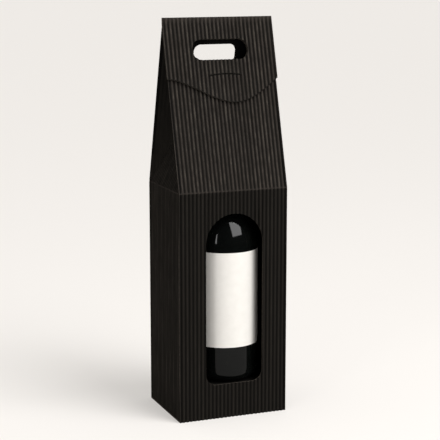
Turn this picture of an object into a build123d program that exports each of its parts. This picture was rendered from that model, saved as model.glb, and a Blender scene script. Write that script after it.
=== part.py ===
from build123d import *
from math import asin, atan2, cos, hypot, radians, sin, sqrt, tan
import os

# One-bottle shipping and carrying carton, folded from black single-face corrugated card.
# Origin: centre of the base, on the surface it stands on. +Z up, the window faces -Y.

# ---- Driving dimensions, in millimetres ----

# Carton
box_width = 100.0        # across the front
roof_rise = 146.0        # shoulder creases to the crease at the very top
card_thickness = 1.6     # liner and flutes together
gusset_angle = 66.1      # degrees, of its creases from the shoulder crease on the flat sheet
floor_seam = 0.6         # between the two outer bottom flaps
glue_tab_width = 12.0    # folded in from the right side, behind the back panel
glue_seam = 0.4          # between the back panel's raw edge and the right side

# Window in the front
window_width = 53.0
window_sill = 30.7       # base to the window's lower edge
window_head = 182.0      # base to the top of its arch
window_corner = 10.0     # radius of its lower corners
window_offset = 0.9      # its middle, right of the box's centre

# Hand holes, measured down the slope from the ridge
hand_width = 51.6
hand_top = 19.2
hand_height = 18.0
hand_corner = 8.8
rear_hand_width = 38.6
rear_hand_top = 24.2
rear_hand_height = 17.8
rear_hand_corner = 6.0

# Closing flap, lengths measured down the slope from the ridge
flap_overhang = 0.8      # past each side of the box
flap_gap = 0.3           # flap to front roof panel
crease_gap = 0.1         # flap to the ridge's mitre plane
flap_left_length = 53.0
flap_right_length = 54.6
tongue_length = 74.8     # the wave's lowest point
tongue_offset = 10.0     # of that point, right of the centre
wave_left_slope = 0.10   # downward slope where the wave starts
wave_right_slope = 0.75  # upward slope where it ends
slit_width = 30.0
slit_drop = 51.1         # ridge to the slit's ends
slit_rise = 1.3
slit_offset = 2.5        # right of the centre
slit_cut = 0.5

# Roof panels
free_edge_gap = 0.4      # front roof panel's top edge to the back panel

# Riser under the bottle
platform_height = 28.8   # base to the surface the bottle stands on
riser_gap = 0.5          # riser to the carton's walls

# Bottle
bottle_diameter = 60.0
bottle_height = 232.0
bottle_right = 4.4       # axis, right of the box's centre
front_room = 2.9         # bottle to front panel
rear_room = 11.9         # bottle to back panel
neck_in_roof = 58.8      # the top of the bottle, above the shoulder creases
heel_radius = 9.0
shoulder_start = 119.0   # above the bottle's own base
neck_start = 178.0
neck_diameter = 26.4
lip_diameter = 28.0
lip_height = 20.0

# Capsule and label
capsule_length = 46.0
foil_thickness = 0.25
foil_gap = 0.05
label_foot = 61.7        # base of the box to the label's lower edge
label_head = 146.4
label_thickness = 0.2
label_gap = 0.05
label_wrap = 250.0       # degrees round the bottle

# ---- Worked out from those ----

box_depth = bottle_diameter + front_room + rear_room + 2 * card_thickness
body_height = platform_height + bottle_height - neck_in_roof
ridge_height = body_height + roof_rise
half_width = box_width / 2
half_depth = box_depth / 2
half_wall = half_width - card_thickness          # inner face of a side
gusset_height = half_depth * tan(radians(gusset_angle))
floor_top = 2 * card_thickness
flap_lift = card_thickness + flap_gap
back_lean = atan2(half_depth, roof_rise)
front_lean = back_lean + asin(flap_lift / hypot(half_depth, roof_rise))
ridge_angle = back_lean + front_lean
ridge = (0, 0, ridge_height)

# Panel planes: x across, y up the slope, z outwards.
flap_plane = Plane(ridge, x_dir=(1, 0, 0), z_dir=(0, -cos(front_lean), sin(front_lean)))
back_plane = Plane(ridge, x_dir=(-1, 0, 0), z_dir=(0, cos(back_lean), sin(back_lean)))


def slab(points, width):
    """A profile of (y, z) points drawn across the box, centred on x = 0."""
    outline = make_face(Polyline([(0, y, z) for y, z in points], close=True))
    return extrude(outline, amount=width / 2, dir=(1, 0, 0), both=True)


def on_slope(plane, down, depth):
    """The (y, z) point that lies so far down a slope from the ridge and so deep under its face."""
    point = plane.from_local_coords((0, -down, -depth))
    return point.Y, point.Z


def mirrored(shape):
    return shape + mirror(shape, about=Plane.YZ)


# ---- Carton ----

def roof_apex():
    """Where the front and back roof panels' outer faces would meet."""
    run = box_depth / (tan(front_lean) + tan(back_lean))
    return half_depth - run * tan(back_lean), body_height + run


def recess():
    """The space that the left gusset folds into, outside the card."""
    apex_y, apex_z = roof_apex()
    apex_rise = apex_z - body_height
    slope = hypot(half_depth, apex_rise)
    corner_rise = (slope * gusset_height - half_depth ** 2) / apex_rise
    corner_inset = sqrt(gusset_height ** 2 - corner_rise ** 2)
    front = Vector(-half_width, -half_depth, body_height)
    back = Vector(-half_width, half_depth, body_height)
    top = Vector(-half_width, apex_y, apex_z)
    inner = Vector(corner_inset - half_width, 0, body_height + corner_rise)
    corners = [(front, back, top), (front, inner, back), (front, top, inner), (back, inner, top)]
    faces = [Face(Wire.make_polygon(trio)) for trio in corners]
    return Solid(Shell(faces))


def grown(solid, distance):
    return offset(solid, amount=distance, kind=Kind.INTERSECTION)


def front_edge_drop():
    """Ridge to the front roof panel's free top edge, down the slope."""
    depth = flap_lift + card_thickness
    meeting = (card_thickness + depth * cos(ridge_angle)) / sin(ridge_angle)
    return meeting + free_edge_gap / sin(ridge_angle)


def front_sheet():
    """Front panel and front roof panel, creased at the shoulder."""
    drop = front_edge_drop()
    inner_shoulder = body_height - card_thickness * tan(front_lean / 2)
    return slab([
        (-half_depth, 0),
        (-half_depth, body_height),
        on_slope(flap_plane, drop, flap_lift),
        on_slope(flap_plane, drop, flap_lift + card_thickness),
        (-half_depth + card_thickness, inner_shoulder),
        (-half_depth + card_thickness, 0),
    ], box_width)


def back_sheet():
    """Back panel and back roof panel, mitred at the ridge where the flap folds over."""
    mitre = card_thickness / tan(ridge_angle / 2)
    inner_shoulder = body_height - card_thickness * tan(back_lean / 2)
    return slab([
        (half_depth, 0),
        (half_depth, body_height),
        (0, ridge_height),
        on_slope(back_plane, mitre, card_thickness),
        (half_depth - card_thickness, inner_shoulder),
        (half_depth - card_thickness, 0),
    ], box_width)


def above_free_edge():
    """Room above the front roof panel, in front of the back one."""
    drop = front_edge_drop()
    below = on_slope(flap_plane, drop, flap_lift + card_thickness)
    mitre = card_thickness / tan(ridge_angle / 2)
    return slab([
        on_slope(flap_plane, drop, -card_thickness),
        below,
        on_slope(back_plane, drop, card_thickness),
        on_slope(back_plane, mitre, card_thickness),
        on_slope(flap_plane, 0, -card_thickness),
    ], 2 * box_width)


def side_sheet():
    """Left side of the body."""
    middle = Pos(-half_width + card_thickness / 2, 0, body_height / 2)
    return middle * Box(card_thickness, box_depth, body_height)


def bottom():
    """Front and back flaps outside, the two side flaps inside, glued on each other."""
    plate = Pos(0, 0, floor_top / 2) * Box(box_width, box_depth, floor_top)
    seam = Pos(0, 0, card_thickness / 2) * Box(box_width, floor_seam, card_thickness)
    flap_room = 2 * (half_wall - half_depth)
    gap = Pos(0, 0, 1.5 * card_thickness) * Box(flap_room, box_depth - 2 * card_thickness, card_thickness)
    return plate - seam - gap


def glue_tab():
    """Folded in from the right side, glued behind the back panel."""
    height = body_height - floor_top - card_thickness
    middle = Pos(half_wall - glue_tab_width / 2, half_depth - 1.5 * card_thickness, floor_top + height / 2)
    return middle * Box(glue_tab_width, card_thickness, height)


def glue_seam_cut():
    """The seam stops below the top of the glue tab that backs it."""
    top = body_height - 2 * card_thickness
    middle = Pos(half_wall - glue_seam / 2, half_depth - card_thickness / 2, top / 2)
    return middle * Box(glue_seam, card_thickness, top)


def window_cut():
    radius = window_width / 2
    spring = window_head - radius
    wall = Plane((0, -half_depth, 0), x_dir=(1, 0, 0), z_dir=(0, -1, 0))
    middle = Pos(window_offset, (window_sill + spring) / 2)
    light = middle * Rectangle(window_width, spring - window_sill)
    lower = light.vertices().sort_by(Axis.Y)[:2]
    outline = fillet(lower, window_corner) + Pos(window_offset, spring) * Circle(radius)
    return extrude(wall * outline, amount=2 * card_thickness, both=True)


def hand_cut():
    """Through the closing flap and the front roof panel under it."""
    outline = Pos(0, -hand_top - hand_height / 2) * RectangleRounded(hand_width, hand_height, hand_corner)
    return extrude(flap_plane * outline, amount=flap_lift + 2 * card_thickness, both=True)


def rear_hand_cut():
    middle = Pos(0, -rear_hand_top - rear_hand_height / 2)
    outline = middle * RectangleRounded(rear_hand_width, rear_hand_height, rear_hand_corner)
    return extrude(back_plane * outline, amount=2 * card_thickness, both=True)


def make_carton():
    apex = roof_apex()
    body = slab([(-half_depth, 0), (half_depth, 0), (half_depth, body_height),
                 apex, (-half_depth, body_height)], box_width)
    left_recess = recess()
    gusset = (grown(left_recess, card_thickness) & body) - above_free_edge()
    shell = front_sheet() + back_sheet() + mirrored(side_sheet()) + mirrored(gusset)
    shell = shell + bottom() + glue_tab()
    shell = shell - mirrored(left_recess) - glue_seam_cut()
    return shell - window_cut() - hand_cut() - rear_hand_cut()


# ---- Closing flap ----

def flap_outline():
    """In the flap's plane, with the ridge along y = 0."""
    side = half_width + flap_overhang
    left = (-side, -flap_left_length)
    low = (tongue_offset, -tongue_length)
    right = (side, -flap_right_length)
    left_third = (tongue_offset + side) / 3
    right_third = (side - tongue_offset) / 3
    fall = Bezier(left, (left[0] + left_third, left[1] - left_third * wave_left_slope),
                  (low[0] - left_third, low[1]), low)
    climb = Bezier(low, (low[0] + right_third, low[1]),
                   (right[0] - right_third, right[1] - right_third * wave_right_slope), right)
    edges = [Line((-side, 0), left), fall, climb, Line(right, (side, 0)), Line((side, 0), (-side, 0))]
    return make_face(Curve() + edges)


def slit():
    arc = ThreePointArc((slit_offset - slit_width / 2, -slit_drop),
                        (slit_offset, -slit_drop + slit_rise),
                        (slit_offset + slit_width / 2, -slit_drop))
    return SlotArc(arc, slit_cut)


def make_closing_flap():
    sheet = extrude(flap_plane * (flap_outline() - slit()), amount=-card_thickness)
    start = crease_gap / sin(ridge_angle / 2)
    mitre = start + card_thickness / tan(ridge_angle / 2)
    behind_mitre = slab([
        on_slope(flap_plane, start - card_thickness, -card_thickness),
        on_slope(flap_plane, start, 0),
        on_slope(flap_plane, mitre, card_thickness),
        on_slope(flap_plane, mitre, 2 * card_thickness),
        on_slope(flap_plane, -card_thickness, 2 * card_thickness),
        on_slope(flap_plane, -card_thickness, -card_thickness),
    ], 2 * box_width)
    return sheet - behind_mitre - hand_cut()


# ---- Riser ----

def make_base_riser():
    """Card folded down at front and back into a bridge for the bottle to stand on."""
    length = 2 * (half_wall - riser_gap)
    front = -half_depth + card_thickness + riser_gap
    back = half_depth - 2 * card_thickness - riser_gap
    height = platform_height - floor_top
    middle = Pos(0, (front + back) / 2, floor_top + height / 2)
    block = Box(length, back - front, height)
    under = Pos(0, 0, -card_thickness) * Box(length, back - front - 2 * card_thickness, height)
    return middle * (block - under)


# ---- Bottle, capsule and label ----

bottle_front = half_depth - card_thickness - front_room
bottle_axis = Pos(bottle_right, bottle_diameter / 2 - bottle_front, platform_height)


def neck_line(extra):
    """Half outline of the neck from the shoulder's end to the lip, grown by a thickness."""
    neck = neck_diameter / 2 + extra
    lip = lip_diameter / 2 + extra
    lip_foot = bottle_height - lip_height
    return [(neck, lip_foot - extra), (lip, lip_foot - extra), (lip, bottle_height + extra)]


def turned(edges, angle=360):
    """A half outline of (radius, height) points, turned round the Z axis."""
    section = Plane.XZ * make_face(Curve() + edges)
    return revolve(section, axis=Axis.Z, revolution_arc=angle)


def make_bottle():
    radius = bottle_diameter / 2
    neck = neck_diameter / 2
    half_shoulder = (neck_start - shoulder_start) / 2
    heel = RadiusArc((radius - heel_radius, 0), (radius, heel_radius), -heel_radius)
    shoulder = Bezier((radius, shoulder_start), (radius, shoulder_start + half_shoulder),
                      (neck, neck_start - half_shoulder), (neck, neck_start))
    edges = [
        Line((0, 0), (radius - heel_radius, 0)),
        heel,
        Line((radius, heel_radius), (radius, shoulder_start)),
        shoulder,
        Polyline([(neck, neck_start)] + neck_line(0) + [(0, bottle_height)]),
        Line((0, bottle_height), (0, 0)),
    ]
    return bottle_axis * turned(edges)


def make_capsule():
    foot = bottle_height - capsule_length
    inner = foil_gap
    outer = foil_gap + foil_thickness
    inside = [(0, bottle_height + inner)] + neck_line(inner)[::-1] + [(neck_diameter / 2 + inner, foot)]
    outside = [(neck_diameter / 2 + outer, foot)] + neck_line(outer) + [(0, bottle_height + outer)]
    return bottle_axis * turned([Polyline(inside + outside, close=True)])


def make_label():
    inner = bottle_diameter / 2 + label_gap
    foot = label_foot - platform_height
    head = label_head - platform_height
    outer = inner + label_thickness
    corners = [(inner, foot), (outer, foot), (outer, head), (inner, head)]
    band = turned([Polyline(corners, close=True)], label_wrap)
    return bottle_axis * Rot(0, 0, -90 - label_wrap / 2) * band


# ---- Write the parts ----

os.makedirs("parts", exist_ok=True)
export_step(make_carton(), "parts/carton.step")
export_step(make_closing_flap(), "parts/closing_flap.step")
export_step(make_base_riser(), "parts/base_riser.step")
export_step(make_bottle(), "parts/bottle.step")
export_step(make_capsule(), "parts/capsule.step")
export_step(make_label(), "parts/label.step")
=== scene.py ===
from math import asin, atan2, cos, hypot, pi, radians, sin, sqrt, tan
from random import Random
import bmesh
import bpy
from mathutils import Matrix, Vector


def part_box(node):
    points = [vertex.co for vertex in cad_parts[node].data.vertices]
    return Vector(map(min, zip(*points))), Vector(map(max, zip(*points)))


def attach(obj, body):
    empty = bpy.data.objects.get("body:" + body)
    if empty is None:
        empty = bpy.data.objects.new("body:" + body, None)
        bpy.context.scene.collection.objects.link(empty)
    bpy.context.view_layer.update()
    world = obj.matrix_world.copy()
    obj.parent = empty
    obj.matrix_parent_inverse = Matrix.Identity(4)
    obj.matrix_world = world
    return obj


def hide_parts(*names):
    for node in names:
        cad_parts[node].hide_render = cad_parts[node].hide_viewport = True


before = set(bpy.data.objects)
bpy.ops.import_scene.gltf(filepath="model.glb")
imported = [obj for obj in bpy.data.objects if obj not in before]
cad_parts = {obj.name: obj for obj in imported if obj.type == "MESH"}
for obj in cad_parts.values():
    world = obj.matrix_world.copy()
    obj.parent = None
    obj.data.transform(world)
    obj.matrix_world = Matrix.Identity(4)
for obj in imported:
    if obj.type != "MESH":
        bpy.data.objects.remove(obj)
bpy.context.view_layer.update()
mm = 0.001
print("frame loaded")


# sRGB hex to linear, with alpha
def colour(code):
    parts = [int(code[i:i + 2], 16) / 255 for i in (0, 2, 4)]
    return [p / 12.92 if p <= 0.04045 else ((p + 0.055) / 1.055) ** 2.4 for p in parts] + [1.0]


# One node, its settings, and what feeds it: a socket, a node (its first output) or a value
def add(tree, kind, feeds=(), **settings):
    node = tree.nodes.new(kind)
    for key, value in settings.items():
        setattr(node, key, value)
    for socket, source in dict(feeds).items():
        if isinstance(source, bpy.types.Node):
            source = source.outputs[0]
        if isinstance(source, bpy.types.NodeSocket):
            tree.links.new(source, node.inputs[socket])
        else:
            node.inputs[socket].default_value = source
    return node


def newMaterial(name):
    material = bpy.data.materials.new(name)
    material.use_nodes = True
    tree = material.node_tree
    shader = tree.nodes["Principled BSDF"]
    return material, tree, shader


cardLook = {
    "valley": "0B0907",     # from the bottom of a flute to its palest top; how pale the tops get is wear and painted light
    "midPale": "201D19",
    "ridge": "322D29",
    "palest": "413C36",
    "cutEdge": "5A534B",
    "fibre": 0.35 * mm,     # paper fibres
    "streak": 2.4 * mm,     # dye streaks across the flutes
    "bodyRubAndLight": 0.3,         # how pale each part's flute tops are painted: painted light and shade for how the part faces the light, with some wear
    "sideRubAndLight": 0.8,
    "gussetRubAndLight": 0.8,
    "roofRubAndLight": 1.0,         # painted light: the roof and flap face the light from above, so their flutes are painted paler than the body's
}


# Black dyed kraft paper on corrugated card: dull and slightly fibrous, with the flute tops painted paler,
# for wear and as painted light where a part faces the light
def blackKraftCard():
    material, tree, shader = newMaterial("black_kraft_fluted_card")
    place = add(tree, "ShaderNodeTexCoord").outputs["Object"]
    ridge = add(tree, "ShaderNodeAttribute", attribute_name="ridge").outputs["Fac"]
    stretched = add(tree, "ShaderNodeMapping", {"Vector": place, "Scale": (1, 1, 0.12)})
    streaks = add(tree, "ShaderNodeTexNoise", {"Vector": stretched, "Scale": 1 / cardLook["streak"],
                                               "Detail": 3.0})
    fibres = add(tree, "ShaderNodeTexNoise", {"Vector": place, "Scale": 1 / cardLook["fibre"],
                                              "Detail": 2.0})
    rubAndLight = add(tree, "ShaderNodeAttribute", attribute_name="rubAndLight").outputs["Fac"]
    # paleness of the flute tops, from wear and painted light: (0.3 + 0.55 x the part's rub and light level)
    # * (0.6 to 1.4 with the streaks) * how high on the flute
    handledAndLit = add(tree, "ShaderNodeMath", {0: rubAndLight, 1: 0.55, 2: 0.3}, operation="MULTIPLY_ADD")
    patchy = add(tree, "ShaderNodeMath", {0: streaks, 1: 0.8, 2: 0.6}, operation="MULTIPLY_ADD")
    ridgePaleness = add(tree, "ShaderNodeMath", {0: handledAndLit, 1: patchy}, operation="MULTIPLY")
    rubbedAndLit = add(tree, "ShaderNodeMath", {0: ridge, 1: ridgePaleness}, operation="MULTIPLY")
    shade = add(tree, "ShaderNodeValToRGB", {"Fac": rubbedAndLit})
    shade.color_ramp.elements[0].color = colour(cardLook["valley"])
    shade.color_ramp.elements[1].color = colour(cardLook["palest"])
    shade.color_ramp.elements.new(0.85).color = colour(cardLook["ridge"])
    shade.color_ramp.elements.new(0.55).color = colour(cardLook["midPale"])
    grain = add(tree, "ShaderNodeBump", {"Height": fibres, "Strength": 0.25, "Distance": 0.1 * mm})
    tree.links.new(shade.outputs["Color"], shader.inputs["Base Color"])
    tree.links.new(grain.outputs["Normal"], shader.inputs["Normal"])
    shader.inputs["Roughness"].default_value = 0.8
    shader.inputs["Specular IOR Level"].default_value = 0.12     # open paper fibres scatter the shine
    return material


# Raw die-cut edge of the same card: the paper's core is greyer and more open
def cutCardEdge():
    material, tree, shader = newMaterial("die_cut_card_edge")
    place = add(tree, "ShaderNodeTexCoord").outputs["Object"]
    layers = add(tree, "ShaderNodeTexNoise", {"Vector": place, "Scale": 1 / (0.8 * mm), "Detail": 2.0})
    shade = add(tree, "ShaderNodeValToRGB", {"Fac": layers})
    shade.color_ramp.elements[0].color = colour(cardLook["valley"])
    shade.color_ramp.elements[0].position = 0.3
    shade.color_ramp.elements[1].color = colour(cardLook["cutEdge"])
    shade.color_ramp.elements[1].position = 0.75
    tree.links.new(shade.outputs["Color"], shader.inputs["Base Color"])
    shader.inputs["Roughness"].default_value = 0.9
    shader.inputs["Specular IOR Level"].default_value = 0.15
    return material


# Black bottle glass: blown and moulded, so it is glossy with a very faint ripple
def blackBottleGlass():
    material, tree, shader = newMaterial("black_bottle_glass")
    place = add(tree, "ShaderNodeTexCoord").outputs["Object"]
    ripple = add(tree, "ShaderNodeTexNoise", {"Vector": place, "Scale": 1 / (14 * mm), "Detail": 1.0})
    skin = add(tree, "ShaderNodeBump", {"Height": ripple, "Strength": 0.12, "Distance": 0.3 * mm})
    shade = add(tree, "ShaderNodeValToRGB", {"Fac": ripple})
    shade.color_ramp.elements[0].color = colour("050606")
    shade.color_ramp.elements[1].color = colour("0B0D0C")
    tree.links.new(shade.outputs["Color"], shader.inputs["Base Color"])
    tree.links.new(skin.outputs["Normal"], shader.inputs["Normal"])
    shader.inputs["Roughness"].default_value = 0.07
    shader.inputs["IOR"].default_value = 1.52
    shader.inputs["Specular IOR Level"].default_value = 0.42
    return material


# Uncoated cream label stock: matte, with a fine laid texture
def creamLabelPaper():
    material, tree, shader = newMaterial("cream_label_paper")
    place = add(tree, "ShaderNodeTexCoord").outputs["Object"]
    cloud = add(tree, "ShaderNodeTexNoise", {"Vector": place, "Scale": 1 / (6 * mm), "Detail": 4.0})
    fibre = add(tree, "ShaderNodeTexNoise", {"Vector": place, "Scale": 1 / (0.4 * mm), "Detail": 2.0})
    shade = add(tree, "ShaderNodeValToRGB", {"Fac": cloud})
    shade.color_ramp.elements[0].color = colour("E8E5DF")
    shade.color_ramp.elements[1].color = colour("F2EFEA")
    tooth = add(tree, "ShaderNodeBump", {"Height": fibre, "Strength": 0.2, "Distance": 0.05 * mm})
    tree.links.new(shade.outputs["Color"], shader.inputs["Base Color"])
    tree.links.new(tooth.outputs["Normal"], shader.inputs["Normal"])
    shader.inputs["Roughness"].default_value = 0.75
    return material


# Black shrink capsule: satin plastic film, lightly creased
def satinCapsuleFilm():
    material, tree, shader = newMaterial("satin_black_capsule_film")
    place = add(tree, "ShaderNodeTexCoord").outputs["Object"]
    crease = add(tree, "ShaderNodeTexNoise", {"Vector": place, "Scale": 1 / (5 * mm), "Detail": 3.0})
    skin = add(tree, "ShaderNodeBump", {"Height": crease, "Strength": 0.2, "Distance": 0.2 * mm})
    shade = add(tree, "ShaderNodeValToRGB", {"Fac": crease})
    shade.color_ramp.elements[0].color = colour("100F0F")
    shade.color_ramp.elements[1].color = colour("1C1B1A")
    tree.links.new(shade.outputs["Color"], shader.inputs["Base Color"])
    tree.links.new(skin.outputs["Normal"], shader.inputs["Normal"])
    shader.inputs["Roughness"].default_value = 0.38
    return material


cardMaterial = blackKraftCard()
edgeMaterial = cutCardEdge()
print("materials made")


carton = {
    "shoulder": 202 * mm,
    "card": 1.6 * mm,
    "fluteDepth": 1.0 * mm,
    "flutePitch": 3.571 * mm,
    "stepsPerFlute": 10,
    "wearSeed": 5,
    "wearSpread": 0.16,           # how unlike each other the flutes have worn
    "cutBand": 0.8 * mm,          # width crushed beside a die cut, and painted dark along it painted shadow: the dark line along the flap's cut edge and its slit
    "cutPaintedShadow": -0.5,               # and how little of its dye has worn there
    "creaseRub": 1.15,            # the dye cracks along a crease
    "ridgeBreadth": 1.6,          # more than 1 makes broad ridges and narrow valleys
    "gussetHeight": 88 * mm,      # on the flat sheet
    "flapGap": 0.3 * mm,
    "freeEdgeGap": 0.4 * mm,      # front roof panel's top edge to the back panel
    "pressedBand": 1.3 * mm,      # half width of a pressed crease
    "pressedShare": 0.1,          # of the flutes' depth, lost along a crease or cut
    "thinnest": 0.05 * mm,        # where the card tapers to a mitre or fold
    "glueSeam": 0.4 * mm,
    "floorSeam": 0.6 * mm,
}
window = {"width": 53 * mm, "sill": 30.7 * mm, "head": 182 * mm, "corner": 10 * mm, "offset": 0.9 * mm}
handHole = {"width": 51.6 * mm, "top": 19.2 * mm, "height": 18 * mm, "corner": 8.8 * mm}
rearHandHole = {"width": 38.6 * mm, "top": 24.2 * mm, "height": 17.8 * mm, "corner": 6 * mm}
flap = {
    "overhang": 0.8 * mm,
    "left": 53 * mm,              # lengths down the slope
    "right": 54.6 * mm,
    "tongue": 74.8 * mm,
    "tongueOffset": 10 * mm,
    "leftSlope": 0.10,
    "rightSlope": 0.75,
    "slitWidth": 30 * mm,
    "slitDrop": 51.1 * mm,
    "slitRise": 1.3 * mm,
    "slitOffset": 2.5 * mm,
    "slitCut": 0.5 * mm,
}

cartonLow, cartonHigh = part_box("carton")
halfWidth = cartonHigh.x
halfDepth = cartonHigh.y
ridgeHeight = cartonHigh.z
shoulder = carton["shoulder"]
card = carton["card"]
rise = ridgeHeight - shoulder
flapLift = card + carton["flapGap"]
backLean = atan2(halfDepth, rise)
frontLean = backLean + asin(flapLift / hypot(halfDepth, rise))
ridgeAngle = backLean + frontLean
right = Vector((1, 0, 0))
up = Vector((0, 0, 1))
forward = Vector((0, -1, 0))
frontUp = Vector((0, sin(frontLean), cos(frontLean)))
frontOut = Vector((0, -cos(frontLean), sin(frontLean)))
backUp = Vector((0, -sin(backLean), cos(backLean)))
backOut = Vector((0, cos(backLean), sin(backLean)))
ridge = Vector((0, 0, ridgeHeight))
mitre = card / tan(ridgeAngle / 2)

# Where the roof panels' outer faces would meet, and the gusset's inner corner
apexRun = 2 * halfDepth / (tan(frontLean) + tan(backLean))
apexY = halfDepth - apexRun * tan(backLean)
slope = hypot(halfDepth, apexRun)
cornerRise = (slope * carton["gussetHeight"] - halfDepth ** 2) / apexRun
cornerInset = sqrt(carton["gussetHeight"] ** 2 - cornerRise ** 2)


# Height of an opening's rounded edge, from its straight side's end, at a distance from the centre
def roundedEnd(distance, halfSpan, corner):
    past = max(distance - (halfSpan - corner), 0)
    return sqrt(max(corner ** 2 - past ** 2, 0))


# An opening between two columns: low and high give its edges at u
def roundedHole(centre, width, middle, height, corner):
    half = width / 2
    straight = height / 2 - corner
    reach = lambda u: straight + roundedEnd(min(abs(u - centre), half), half, corner)
    return {"from": centre - half, "to": centre + half, "round": corner,
            "low": lambda u: middle - reach(u), "high": lambda u: middle + reach(u)}


def windowHole(centre):
    half = window["width"] / 2
    corner = window["corner"]
    away = lambda u: min(abs(u - centre), half)
    return {"from": centre - half, "to": centre + half, "round": half,
            "low": lambda u: window["sill"] + corner - roundedEnd(away(u), half, corner),
            "high": lambda u: window["head"] - half + sqrt(max(half ** 2 - away(u) ** 2, 0))}


def slitHole(centre):
    half = flap["slitWidth"] / 2
    line = lambda u: flap["slitRise"] * (1 - min(abs(u - centre) / half, 1) ** 2) - flap["slitDrop"]
    return {"from": centre - half, "to": centre + half, "round": flap["slitCut"],
            "low": lambda u: line(u) - flap["slitCut"] / 2, "high": lambda u: line(u) + flap["slitCut"] / 2}


# Each flute has worn a little more or less than the panel's usual
def fluteWear(count):
    chance = Random(carton["wearSeed"] + count)
    return [carton["wearSpread"] * (chance.random() * 2 - 1) for _ in range(count + 1)]


# Where the columns of a panel stand: a fixed number for each flute, and more at round ends
def columnPlaces(width, flutes, holes):
    count = flutes * carton["stepsPerFlute"]
    exact = []
    for hole in holes:
        for turn in range(11):
            inset = hole["round"] * (1 - cos(turn * pi / 20))
            exact += [hole["from"] + inset, hole["to"] - inset]
    places = [i * width / count for i in range(count + 1)]
    clear = [p for p in places if all(abs(p - e) > 0.04 * mm for e in exact)]
    ordered = sorted(clear + exact)
    return [p for i, p in enumerate(ordered) if i == 0 or p - ordered[i - 1] > 1e-7]


# One flat panel of the sheet, laid out in columns along its flutes. bands lists, from the bottom up,
# the rows and openings between its low and high edges. backing gives the card's thickness at (u, v),
# The rub level gives how pale its flute tops are painted, for wear and as painted light and shade, and
# cutLines are die-cut lines that crush the flutes and are painted dark as their shadow.
def addPanel(sheet, origin, across, along, outward, width, low, high,
             bands=(), creases=(), backing=None, rubAndLight=cardLook["bodyRubAndLight"], cutLines=()):
    flutes = round(width / carton["flutePitch"])
    holes = [band for band in bands if isinstance(band, dict)]
    places = columnPlaces(width, flutes, holes)
    mirrored = across.cross(along).dot(outward) < 0
    wear = fluteWear(flutes)
    columns = []
    for u in places:
        stops = [low(u)]
        for band in bands:
            if isinstance(band, dict):
                inside = min(max(u, band["from"]), band["to"])
                stops += [band["low"](inside), band["high"](inside)]
            else:
                stops.append(band(u))
        stops.append(high(u))
        column = []
        for v in stops:
            column.append(len(sheet["points"]))
            sheet["points"].append(origin + across * u + along * v)
            sheet["flute"].append(u / width * flutes)
            sheet["backing"].append(backing(u, v) if backing else card)
            crushed = any(abs(v - line(u)) < 1e-5 for line in cutLines)
            creased = any(abs(v - c) < 1e-6 for c in creases)
            sheet["pressed"].append(1.0 if creased or crushed else 0.0)
            sheet["outward"].append(outward)
            here = carton["creaseRub"] if creased else rubAndLight + wear[round(u / width * flutes)]
            # painted shadow: points on a die-cut line get the darkest flute colour
            sheet["rubAndLight"].append(carton["cutPaintedShadow"] if crushed else here)
        columns.append(column)
    openRows = {}
    row = 0
    for band in bands:
        row += 1
        if isinstance(band, dict):
            openRows[row] = band
            row += 1
    for i in range(len(places) - 1):
        middle = (places[i] + places[i + 1]) / 2
        for k in range(len(columns[i]) - 1):
            hole = openRows.get(k)
            if hole and hole["from"] < middle < hole["to"]:
                continue
            face = [columns[i][k], columns[i + 1][k], columns[i + 1][k + 1], columns[i][k + 1]]
            sheet["faces"].append(face[::-1] if mirrored else face)


def newSheet():
    return {"points": [], "faces": [], "flute": [], "backing": [], "pressed": [], "rubAndLight": [], "outward": []}


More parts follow.
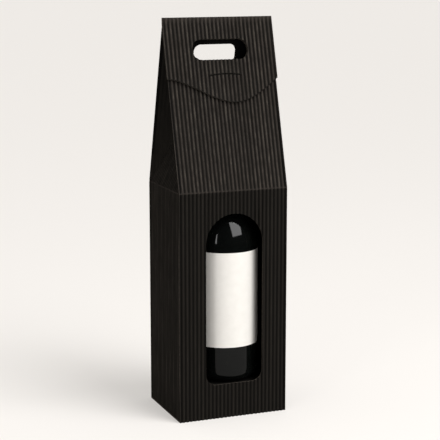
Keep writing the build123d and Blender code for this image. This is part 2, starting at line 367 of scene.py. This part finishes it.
# Geometry Nodes: gives a flat sheet its flutes on the outside, a flat liner behind and cut edges
def fluteTree():
    tree = bpy.data.node_groups.new("fluteSheet", "GeometryNodeTree")
    face = tree.interface
    face.new_socket("Geometry", in_out="INPUT", socket_type="NodeSocketGeometry")
    face.new_socket("Flute Depth", in_out="INPUT", socket_type="NodeSocketFloat")
    face.new_socket("Pressed Share", in_out="INPUT", socket_type="NodeSocketFloat")
    face.new_socket("Ridge Breadth", in_out="INPUT", socket_type="NodeSocketFloat")
    face.new_socket("Card", in_out="INPUT", socket_type="NodeSocketMaterial")
    face.new_socket("Cut Edge", in_out="INPUT", socket_type="NodeSocketMaterial")
    face.new_socket("Geometry", in_out="OUTPUT", socket_type="NodeSocketGeometry")
    given = add(tree, "NodeGroupInput").outputs

    def attribute(name, kind="FLOAT"):
        node = add(tree, "GeometryNodeInputNamedAttribute", {"Name": name}, data_type=kind)
        return node.outputs["Attribute"]

    def maths(operation, first, second=0.0, third=0.0):
        return add(tree, "ShaderNodeMath", {0: first, 1: second, 2: third}, operation=operation)

    backing = attribute("backing")
    pressed = attribute("pressed")
    outward = attribute("outward", "FLOAT_VECTOR")
    swing = maths("COSINE", maths("MULTIPLY", attribute("flute"), 2 * pi))
    even = maths("MULTIPLY_ADD", swing, -0.5, 0.5)                  # 0 on a ridge, 1 in a valley
    wave = maths("POWER", even, given["Ridge Breadth"])             # broad ridges, narrow valleys
    thin = maths("MULTIPLY", backing, 0.8)
    depth = maths("MINIMUM", given["Flute Depth"], thin)
    share = add(tree, "ShaderNodeMix", {0: pressed, 2: wave, 3: given["Pressed Share"]})
    height = maths("SUBTRACT", backing, maths("MULTIPLY", depth, share))
    merged = add(tree, "GeometryNodeMergeByDistance", {"Geometry": given["Geometry"], "Distance": 1e-6})
    inward = add(tree, "ShaderNodeVectorMath", {0: outward, 3: maths("MULTIPLY", backing, -1.0)},
                 operation="SCALE")
    lining = add(tree, "GeometryNodeSetPosition", {"Geometry": merged, "Offset": inward})
    raised = add(tree, "GeometryNodeExtrudeMesh", {"Mesh": lining, "Offset Scale": 0.0, "Individual": False})
    top = raised.outputs["Top"]
    lift = add(tree, "ShaderNodeVectorMath", {0: outward, 3: height}, operation="SCALE")
    fluted = add(tree, "GeometryNodeSetPosition", {"Geometry": raised, "Selection": top, "Offset": lift})
    ridgePaleness = add(tree, "GeometryNodeStoreNamedAttribute",
               {"Geometry": fluted, "Selection": top, "Name": "ridge",
                "Value": maths("SUBTRACT", 1.0, share)})
    carded = add(tree, "GeometryNodeSetMaterial", {"Geometry": ridgePaleness, "Material": given["Card"]})
    marked = add(tree, "GeometryNodeStoreNamedAttribute",
                 {"Geometry": carded, "Selection": raised.outputs["Side"], "Name": "cutFace", "Value": 1.0},
                 domain="FACE")
    liner = add(tree, "GeometryNodeFlipFaces", {"Mesh": lining})
    lined = add(tree, "GeometryNodeSetMaterial", {"Geometry": liner, "Material": given["Card"]})
    joined = add(tree, "GeometryNodeJoinGeometry", {"Geometry": marked})
    tree.links.new(lined.outputs[0], joined.inputs["Geometry"])
    closed = add(tree, "GeometryNodeMergeByDistance", {"Geometry": joined, "Distance": 1e-6})
    solid = add(tree, "GeometryNodeRealizeInstances", {"Geometry": closed})
    cut = add(tree, "FunctionNodeCompare", {0: attribute("cutFace"), 1: 0.5}, operation="GREATER_THAN")
    edged = add(tree, "GeometryNodeSetMaterial",
                {"Geometry": solid, "Selection": cut, "Material": given["Cut Edge"]})
    add(tree, "NodeGroupOutput", {"Geometry": edged})
    return tree


sheetTree = fluteTree()


# Turns the panels into one plain fluted mesh
def foldedCard(name, sheet):
    mesh = bpy.data.meshes.new(name)
    mesh.from_pydata([tuple(p) for p in sheet["points"]], [], sheet["faces"])
    for key in ("flute", "backing", "pressed", "rubAndLight"):
        mesh.attributes.new(key, "FLOAT", "POINT").data.foreach_set("value", sheet[key])
    flat = [c for vector in sheet["outward"] for c in vector]
    mesh.attributes.new("outward", "FLOAT_VECTOR", "POINT").data.foreach_set("vector", flat)
    piece = bpy.data.objects.new(name, mesh)
    bpy.context.scene.collection.objects.link(piece)
    modifier = piece.modifiers.new("flutes", "NODES")
    modifier.node_group = sheetTree
    values = {"Flute Depth": carton["fluteDepth"], "Pressed Share": carton["pressedShare"],
              "Ridge Breadth": carton["ridgeBreadth"], "Card": cardMaterial,
              "Cut Edge": edgeMaterial}
    for socket in sheetTree.interface.items_tree:
        if socket.in_out == "INPUT" and socket.name in values:
            modifier[socket.identifier] = values[socket.name]
    return plainMesh(piece)


def plainMesh(piece):
    graph = bpy.context.evaluated_depsgraph_get()
    mesh = bpy.data.meshes.new_from_object(piece.evaluated_get(graph), preserve_all_data_layers=True,
                                           depsgraph=graph)
    piece.modifiers.clear()
    piece.data = mesh
    for name in ("flute", "backing", "pressed", "outward", "cutFace"):
        if name in mesh.attributes:
            mesh.attributes.remove(mesh.attributes[name])
    mesh.shade_smooth()
    mesh.set_sharp_from_angle(angle=radians(62))
    print(piece.name, len(mesh.polygons), "faces")
    return piece


def level(value):
    return lambda u: value


# Body: front with its window, two sides and the back, with creases pressed at the shoulders
def bodyPanels(sheet):
    band = carton["pressedBand"]
    rows = [level(shoulder - band)]
    front = Vector((-halfWidth, -halfDepth, 0))
    addPanel(sheet, front, right, up, forward, 2 * halfWidth, level(0), level(shoulder),
             [windowHole(halfWidth + window["offset"])] + rows, [shoulder])
    backWidth = 2 * halfWidth - card - carton["glueSeam"]
    back = Vector((-halfWidth, halfDepth, 0))
    addPanel(sheet, back, right, up, -forward, backWidth, level(0), level(shoulder), rows, [shoulder])
    for side in (-1, 1):
        corner = Vector((side * halfWidth, -halfDepth, 0))
        addPanel(sheet, corner, -forward, up, right * side, 2 * halfDepth, level(0), level(shoulder),
                 rows, [shoulder], rubAndLight=cardLook["sideRubAndLight"])


# How far down the slope the front roof panel's free top edge lies
def freeEdgeDrop():
    deep = flapLift + card
    meeting = (card + deep * cos(ridgeAngle)) / sin(ridgeAngle)
    return meeting + carton["freeEdgeGap"] / sin(ridgeAngle)


# The card is thin along the roof panels' side edges, where the gussets fold back behind them
def foldedEdge(u, width, angle):
    return max(min(card, min(u, width - u) * tan(angle)), carton["thinnest"])


def roofPanels(sheet):
    band = carton["pressedBand"]
    width = 2 * halfWidth
    fold = atan2(halfDepth - cornerRise * tan(frontLean), cornerInset)
    front = Vector((-halfWidth, -halfDepth, shoulder))
    frontLength = (ridge - front).dot(frontUp)
    middle = frontLength - handHole["top"] - handHole["height"] / 2
    hole = roundedHole(halfWidth, handHole["width"], middle, handHole["height"], handHole["corner"])
    freeEdge = level(frontLength - freeEdgeDrop())
    folded = lambda u, v: foldedEdge(u, width, fold)
    addPanel(sheet, front, right, frontUp, frontOut, width, level(0), freeEdge,
             [level(band), hole], [0], folded, cardLook["roofRubAndLight"])
    back = Vector((-halfWidth, halfDepth, shoulder))
    backLength = (ridge - back).dot(backUp)
    rear = rearHandHole
    hole = roundedHole(halfWidth, rear["width"], backLength - rear["top"] - rear["height"] / 2,
                       rear["height"], rear["corner"])
    toRidge = lambda v: (backLength - v) * tan(ridgeAngle / 2)
    thin = lambda u, v: max(min(foldedEdge(u, width, fold), toRidge(v)), carton["thinnest"])
    addPanel(sheet, back, right, backUp, backOut, width, level(0), level(backLength),
             [level(band), hole, level(backLength - mitre)], [0, backLength], thin, cardLook["roofRubAndLight"])


# Each end folds in as a triangle between two wings, with the flutes following the sheet
def gussetPanels(sheet):
    height = carton["gussetHeight"]
    wingTaper = 0.4      # how fast a wing thickens from the roof panel's edge
    for side in (-1, 1):
        end = side * halfWidth
        front = Vector((end, -halfDepth, shoulder))
        back = Vector((end, halfDepth, shoulder))
        top = Vector((end, apexY, shoulder + apexRun))
        inner = Vector((end - side * cornerInset, 0, shoulder + cornerRise))
        climb = (inner - (front + back) / 2).normalized()
        facing = climb.cross(forward) * side
        if facing.x * side < 0:
            facing = -facing
        edge = lambda u: height * (1 - abs(u - halfDepth) / halfDepth)
        addPanel(sheet, front, -forward, climb, facing, 2 * halfDepth, level(0), edge,
                 [lambda u: min(carton["pressedBand"], edge(u))], [0], rubAndLight=cardLook["gussetRubAndLight"])
        for corner in (front, back):
            edge = (top - corner).normalized()
            length = (top - corner).length
            reach = inner - corner
            inwards = (reach - edge * reach.dot(edge)).normalized()
            width = reach.dot(inwards)
            foot = reach.dot(edge)
            outside = edge.cross(inwards)
            if outside.x * side < 0:
                outside = -outside
            # painted shade: the wings sit in the gusset's recess, so they get the darkest flute colour with
            # no paleness
            addPanel(sheet, corner, inwards, edge, outside, width,
                     lambda u, w=width, f=foot: f * u / w,
                     lambda u, w=width, f=foot, l=length: l + (f - l) * u / w,
                     backing=lambda u, v: max(min(card, u * wingTaper), carton["thinnest"]), rubAndLight=0.0)


# Front and back bottom flaps, which meet on the centre line
def bottomPanels(sheet):
    length = halfDepth - carton["floorSeam"] / 2
    for side in (-1, 1):
        edge = Vector((-halfWidth, side * halfDepth, 0))
        addPanel(sheet, edge, right, Vector((0, -side, 0)), -up, 2 * halfWidth,
                 level(card), level(length), creases=[card])


cartonSheet = newSheet()
bodyPanels(cartonSheet)
roofPanels(cartonSheet)
gussetPanels(cartonSheet)
bottomPanels(cartonSheet)
foldedCarton = foldedCard("folded_carton", cartonSheet)
print("carton folded")


# Length of the flap at u: two smooth stretches, from each side to the tongue
def flapLength(u):
    half = halfWidth + flap["overhang"]
    x = u - half
    low = flap["tongueOffset"]
    if x < low:
        start, end, span, t = flap["left"], flap["tongue"], low + half, (x + half) / (low + half)
        first, last = start + span / 3 * flap["leftSlope"], end
    else:
        start, end, span, t = flap["tongue"], flap["right"], half - low, (x - low) / (half - low)
        first, last = start, end + span / 3 * flap["rightSlope"]
    return (start * (1 - t) ** 3 + 3 * first * t * (1 - t) ** 2
            + 3 * last * t ** 2 * (1 - t) + end * t ** 3)


def flapPanel(sheet):
    half = halfWidth + flap["overhang"]
    corner = ridge - right * half
    hole = roundedHole(half, handHole["width"], -handHole["top"] - handHole["height"] / 2,
                       handHole["height"], handHole["corner"])
    thin = lambda u, v: max(min(card, -v * tan(ridgeAngle / 2)), carton["thinnest"])
    slit = slitHole(half + flap["slitOffset"])
    inSlit = lambda u: min(max(u, slit["from"]), slit["to"])
    edge = lambda u: -flapLength(u)
    lowLip = lambda u: slit["low"](inSlit(u))
    highLip = lambda u: slit["high"](inSlit(u))
    band = carton["cutBand"]
    rows = [lambda u: band - flapLength(u), lambda u: lowLip(u) - band, slit,
            lambda u: highLip(u) + band, hole, level(-mitre)]
    cutLines = [edge] + [lambda u, e=e: e(u) if slit["from"] <= u <= slit["to"] else 1.0
                         for e in (lowLip, highLip)]
    addPanel(sheet, corner, right, frontUp, frontOut, 2 * half, edge, level(0), rows, [0], thin,
             cardLook["roofRubAndLight"], cutLines=cutLines)


flapSheet = newSheet()
flapPanel(flapSheet)
foldedFlap = foldedCard("folded_flap", flapSheet)
print("flap folded")


bottle = {
    "radius": 30 * mm,
    "heel": 9 * mm,
    "shoulder": 119 * mm,       # above the bottle's own base
    "neckStart": 178 * mm,
    "neck": 13.2 * mm,
    "lip": 14 * mm,
    "lipHeight": 20 * mm,
    "lipBead": 0.8 * mm,        # rounding at the lip's edges
    "capsule": 46 * mm,
    "foil": 0.3 * mm,
    "segments": 160,
}
label = {"gap": 0.05 * mm, "thickness": 0.2 * mm, "wrap": 250, "segments": 120}

bottleLow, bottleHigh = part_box("bottle")
bottleAxis = (bottleLow + bottleHigh) / 2
bottleHeight = bottleHigh.z - bottleLow.z


def curvePoint(points, t):
    a, b, c, d = points
    return tuple(a[i] * (1 - t) ** 3 + 3 * b[i] * t * (1 - t) ** 2 + 3 * c[i] * t ** 2 * (1 - t)
                 + d[i] * t ** 3 for i in (0, 1))


# Turns (radius, height) points round the bottle's axis; points on the axis close it
def turned(name, profile, segments, wrap=2 * pi, start=0.0):
    points, faces = [], []
    whole = wrap > 2 * pi - 1e-6
    rings = segments if whole else segments + 1
    for i in range(rings):
        angle = start + wrap * i / segments
        for radius, height in profile:
            points.append((bottleAxis.x + radius * cos(angle), bottleAxis.y + radius * sin(angle),
                           bottleLow.z + height))
    count = len(profile)
    for i in range(segments):
        here, there = i * count, ((i + 1) % rings) * count
        for k in range(count):
            after = (k + 1) % count
            if whole and after == 0:
                continue
            faces.append((here + k, there + k, there + after, here + after))
    if not whole:
        faces += [tuple(range(count)), tuple((rings - 1) * count + k for k in reversed(range(count)))]
    mesh = bpy.data.meshes.new(name)
    mesh.from_pydata(points, [], faces)
    return finishTurned(name, mesh)


def finishTurned(name, mesh):
    work = bmesh.new()
    work.from_mesh(mesh)
    bmesh.ops.remove_doubles(work, verts=work.verts, dist=1e-7)
    bmesh.ops.recalc_face_normals(work, faces=work.faces)
    work.to_mesh(mesh)
    work.free()
    mesh.shade_smooth()
    mesh.set_sharp_from_angle(angle=radians(40))
    piece = bpy.data.objects.new(name, mesh)
    bpy.context.scene.collection.objects.link(piece)
    return piece


def bottleProfile():
    heelCentre = bottle["radius"] - bottle["heel"]
    heel = [(heelCentre + bottle["heel"] * sin(i * pi / 24), bottle["heel"] * (1 - cos(i * pi / 24)))
            for i in range(13)]
    half = (bottle["neckStart"] - bottle["shoulder"]) / 2
    bend = [(bottle["radius"], bottle["shoulder"]), (bottle["radius"], bottle["shoulder"] + half),
            (bottle["neck"], bottle["neckStart"] - half), (bottle["neck"], bottle["neckStart"])]
    curve = [curvePoint(bend, i / 28) for i in range(29)]
    return [(0, 0)] + heel + curve + neckProfile(0) + [(0, bottleHeight)]


def neckProfile(extra):
    lipFoot = bottleHeight - bottle["lipHeight"]
    bead = bottle["lipBead"]
    return [(bottle["neck"] + extra, lipFoot - extra - bead),
            (bottle["lip"] + extra - bead / 3, lipFoot - extra),
            (bottle["lip"] + extra, lipFoot - extra + bead),
            (bottle["lip"] + extra, bottleHeight + extra - bead),
            (bottle["lip"] + extra - bead, bottleHeight + extra)]


turnedBottle = turned("turned_bottle", bottleProfile(), bottle["segments"])
turnedBottle.data.materials.append(blackBottleGlass())

capsuleFoot = bottleHeight - bottle["capsule"]
capsuleEdge = [(bottle["neck"] + 0.05 * mm, capsuleFoot), (bottle["neck"] + bottle["foil"], capsuleFoot)]
capsuleLine = capsuleEdge + neckProfile(bottle["foil"]) + [(0, bottleHeight + bottle["foil"])]
capsuleInside = [(0, bottleHeight + 0.05 * mm)] + neckProfile(0.05 * mm)[::-1]
neckCapsule = turned("neck_capsule", capsuleInside + capsuleLine, bottle["segments"])
neckCapsule.data.materials.append(satinCapsuleFilm())

labelLow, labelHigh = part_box("label")
inner = bottle["radius"] + label["gap"]
outer = inner + label["thickness"]
foot, head = labelLow.z - bottleLow.z, labelHigh.z - bottleLow.z
wrap = radians(label["wrap"])
paperLabel = turned("paper_label", [(inner, foot), (outer, foot), (outer, head), (inner, head)],
                    label["segments"], wrap, -pi / 2 - wrap / 2)
paperLabel.data.materials.append(creamLabelPaper())
print("bottle made")


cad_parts["base_riser"].data.materials.clear()
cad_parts["base_riser"].data.materials.append(cardMaterial)
for piece, node in ((foldedCarton, "carton"), (foldedFlap, "closing_flap"), (turnedBottle, "bottle"),
                    (neckCapsule, "capsule"), (paperLabel, "label")):
    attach(piece, "closing_flap" if node == "closing_flap" else "carton")
    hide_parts(node)


studio = {
    "floor": "BAB7B4",
    "floorGlow": 0.4,           # seen by the camera and in reflections only
    "backdrop": "F7F4F0",
    "ceiling": "0C0C0C",        # what the glass reflects beyond the floor round the box
    "mirrorNear": 0.45,         # metres from the box, where the mirrored floor starts to darken
    "mirrorFar": 0.75,
    "mirrorDim": 0.65,          # how much darker the near floor is in reflections
    "fill": 2.6,
    "fillPlace": (-1.1, -0.9, 0.5),
    "skyLow": 0.2,              # light from the horizon and from straight above
    "skyHigh": 0.8,
    "key": 1.55,
    "keyPlace": (0.8, -1.0, 1.9),
    "softbox": 10.5,
    "softboxPlace": (0.55, -1.05, 0.9),
    "camera": (-0.451, -1.148, 0.403),
    "yaw": 21.56,
    "pitch": 10.71,
    "lens": 116.0,
}


# 1 for rays from the camera and for mirrored and refracted ones
def seenRay(tree):
    path = add(tree, "ShaderNodeLightPath").outputs
    mirrored = add(tree, "ShaderNodeMath", {0: path["Is Camera Ray"], 1: path["Is Glossy Ray"]},
                   operation="MAXIMUM")
    return add(tree, "ShaderNodeMath", {0: mirrored, 1: path["Is Transmission Ray"]}, operation="MAXIMUM")


def paleFloor():
    material, tree, shader = newMaterial("pale_paper_floor")
    place = add(tree, "ShaderNodeTexCoord").outputs["Object"]
    distance = add(tree, "ShaderNodeVectorMath", {0: place}, operation="LENGTH").outputs["Value"]
    far = add(tree, "ShaderNodeMapRange", {"Value": distance, "From Min": studio["mirrorNear"],
                                           "From Max": studio["mirrorFar"]})
    glossy = add(tree, "ShaderNodeLightPath").outputs["Is Glossy Ray"]
    dim = add(tree, "ShaderNodeMath", {0: far, 1: studio["mirrorDim"]}, operation="MAXIMUM")
    hidden = add(tree, "ShaderNodeMath", {0: dim, 1: glossy}, operation="MULTIPLY")
    paint = add(tree, "ShaderNodeMix", {"Factor": hidden}, data_type="RGBA")
    paint.inputs["A"].default_value = colour(studio["floor"])
    paint.inputs["B"].default_value = colour(studio["ceiling"])
    tree.links.new(paint.outputs["Result"], shader.inputs["Base Color"])
    shader.inputs["Roughness"].default_value = 0.9
    shader.inputs["Specular IOR Level"].default_value = 0.0
    seen = add(tree, "ShaderNodeMath", {0: seenRay(tree), 1: hidden}, operation="SUBTRACT")
    glow = add(tree, "ShaderNodeMath", {0: seen, 1: studio["floorGlow"]}, operation="MULTIPLY")
    shader.inputs["Emission Color"].default_value = colour(studio["backdrop"])
    tree.links.new(glow.outputs[0], shader.inputs["Emission Strength"])
    mesh = bpy.data.meshes.new("floor")
    size = 30
    corners = [(-size, -size, 0), (size, -size, 0), (size, size, 0), (-size, size, 0)]
    mesh.from_pydata(corners, [], [(0, 1, 2, 3)])
    mesh.materials.append(material)
    floor = bpy.data.objects.new("floor", mesh)
    bpy.context.scene.collection.objects.link(floor)


def studioWorld():
    world = bpy.data.worlds.new("studio")
    bpy.context.scene.world = world
    world.use_nodes = True
    tree = world.node_tree
    tree.nodes.clear()
    direction = add(tree, "ShaderNodeTexCoord").outputs["Generated"]
    height = add(tree, "ShaderNodeSeparateXYZ", {"Vector": direction}).outputs["Z"]
    sky = add(tree, "ShaderNodeMapRange", {"Value": height, "From Min": 0.0, "From Max": 1.0,
                                           "To Min": studio["skyLow"], "To Max": studio["skyHigh"]})
    light = add(tree, "ShaderNodeBackground", {"Color": colour("FFFDFA"), "Strength": sky})
    glossy = add(tree, "ShaderNodeLightPath").outputs["Is Glossy Ray"]
    paint = add(tree, "ShaderNodeMix", {"Factor": glossy}, data_type="RGBA")
    paint.inputs["A"].default_value = colour(studio["backdrop"])
    paint.inputs["B"].default_value = colour(studio["ceiling"])
    paint = add(tree, "ShaderNodeBackground", {"Color": paint.outputs["Result"], "Strength": 1.0})
    mix = add(tree, "ShaderNodeMixShader", {0: seenRay(tree), 1: light, 2: paint})
    add(tree, "ShaderNodeOutputWorld", {"Surface": mix})


def lamp(name, kind, energy, place, target, **settings):
    light = bpy.data.lights.new(name, kind)
    light.energy = energy
    for key, value in settings.items():
        setattr(light, key, value)
    holder = bpy.data.objects.new(name, light)
    bpy.context.scene.collection.objects.link(holder)
    holder.location = place
    holder.rotation_euler = (Vector(target) - Vector(place)).to_track_quat("-Z", "Y").to_euler()


def camera():
    lens = bpy.data.cameras.new("camera")
    lens.lens = studio["lens"]
    lens.sensor_width = 36
    holder = bpy.data.objects.new("camera", lens)
    bpy.context.scene.collection.objects.link(holder)
    holder.location = studio["camera"]
    holder.rotation_euler = (radians(90 - studio["pitch"]), 0, -radians(studio["yaw"]))
    bpy.context.scene.camera = holder


paleFloor()
studioWorld()
lamp("keySun", "SUN", studio["key"], studio["keyPlace"], (0, 0, 0.15), angle=radians(35))
lamp("softbox", "AREA", studio["softbox"], studio["softboxPlace"], (0, 0, 0.2), shape="RECTANGLE",
     size=0.9, size_y=0.95)
lamp("fill", "AREA", studio["fill"], studio["fillPlace"], (0, 0, 0.15), shape="RECTANGLE",
     size=0.3, size_y=0.7)
camera()
bpy.context.scene.view_settings.view_transform = "Standard"
print("studio lit")
